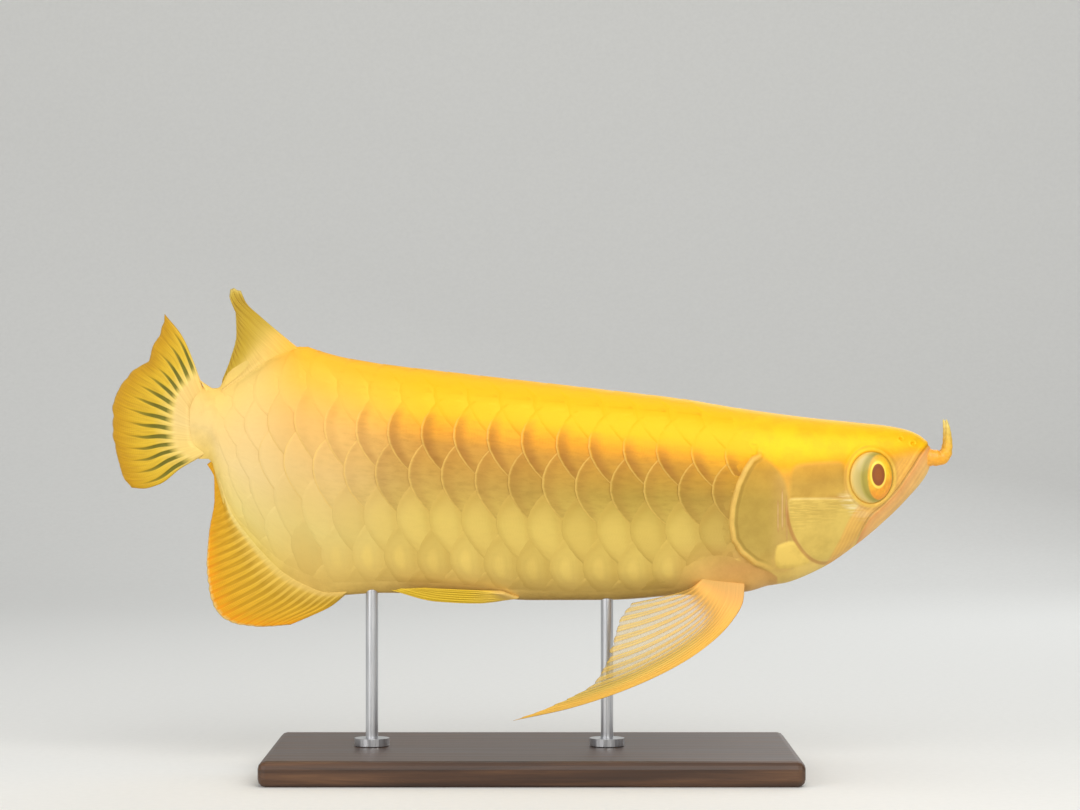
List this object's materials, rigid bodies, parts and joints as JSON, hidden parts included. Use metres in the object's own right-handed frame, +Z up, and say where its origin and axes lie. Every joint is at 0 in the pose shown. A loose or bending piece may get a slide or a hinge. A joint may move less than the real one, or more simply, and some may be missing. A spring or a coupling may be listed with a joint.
{
  "type": "asian arowana display model",
  "caption": "Still, life-size model of a young golden asian arowana with large scales, long fins and chin barbels, held over a plain base by two short rods.",
  "frame": {"origin": "centre of the underside of the stand's base, on the floor", "axes": "+X from the tail to the snout, +Z up, +Y to the fish's left side"},
  "size_m": [0.3369, 0.1266, 0.1936],
  "materials": {
    "scaled_skin": "satin golden scales, pale below",
    "head_skin": "satin golden head skin",
    "jaw_skin": "satin peach skin",
    "gill_plate": "pearly olive gold plate",
    "fin_membrane": "thin golden membrane with raised rays",
    "eye": "wet golden eye with a dark pupil",
    "stand_wood": "dark satin wood",
    "stand_steel": "brushed steel"
  },
  "bodies": {
    "root": {"trunk": "scaled_skin", "tail_stem": "scaled_skin", "head": "head_skin", "lower_jaw": "jaw_skin", "gill_cover_right": "gill_plate", "gill_cover_left": "gill_plate", "eye_right": "eye", "eye_left": "eye", "barbel_right": "jaw_skin", "barbel_left": "jaw_skin", "dorsal_fin": "fin_membrane", "anal_fin": "fin_membrane", "caudal_fin": "fin_membrane", "pectoral_fin_right": "fin_membrane", "pectoral_fin_left": "fin_membrane", "pelvic_fin_right": "fin_membrane", "pelvic_fin_left": "fin_membrane", "stand_base": "stand_wood", "stand_rod_front": "stand_steel", "stand_rod_rear": "stand_steel"}
  },
  "joints": []
}
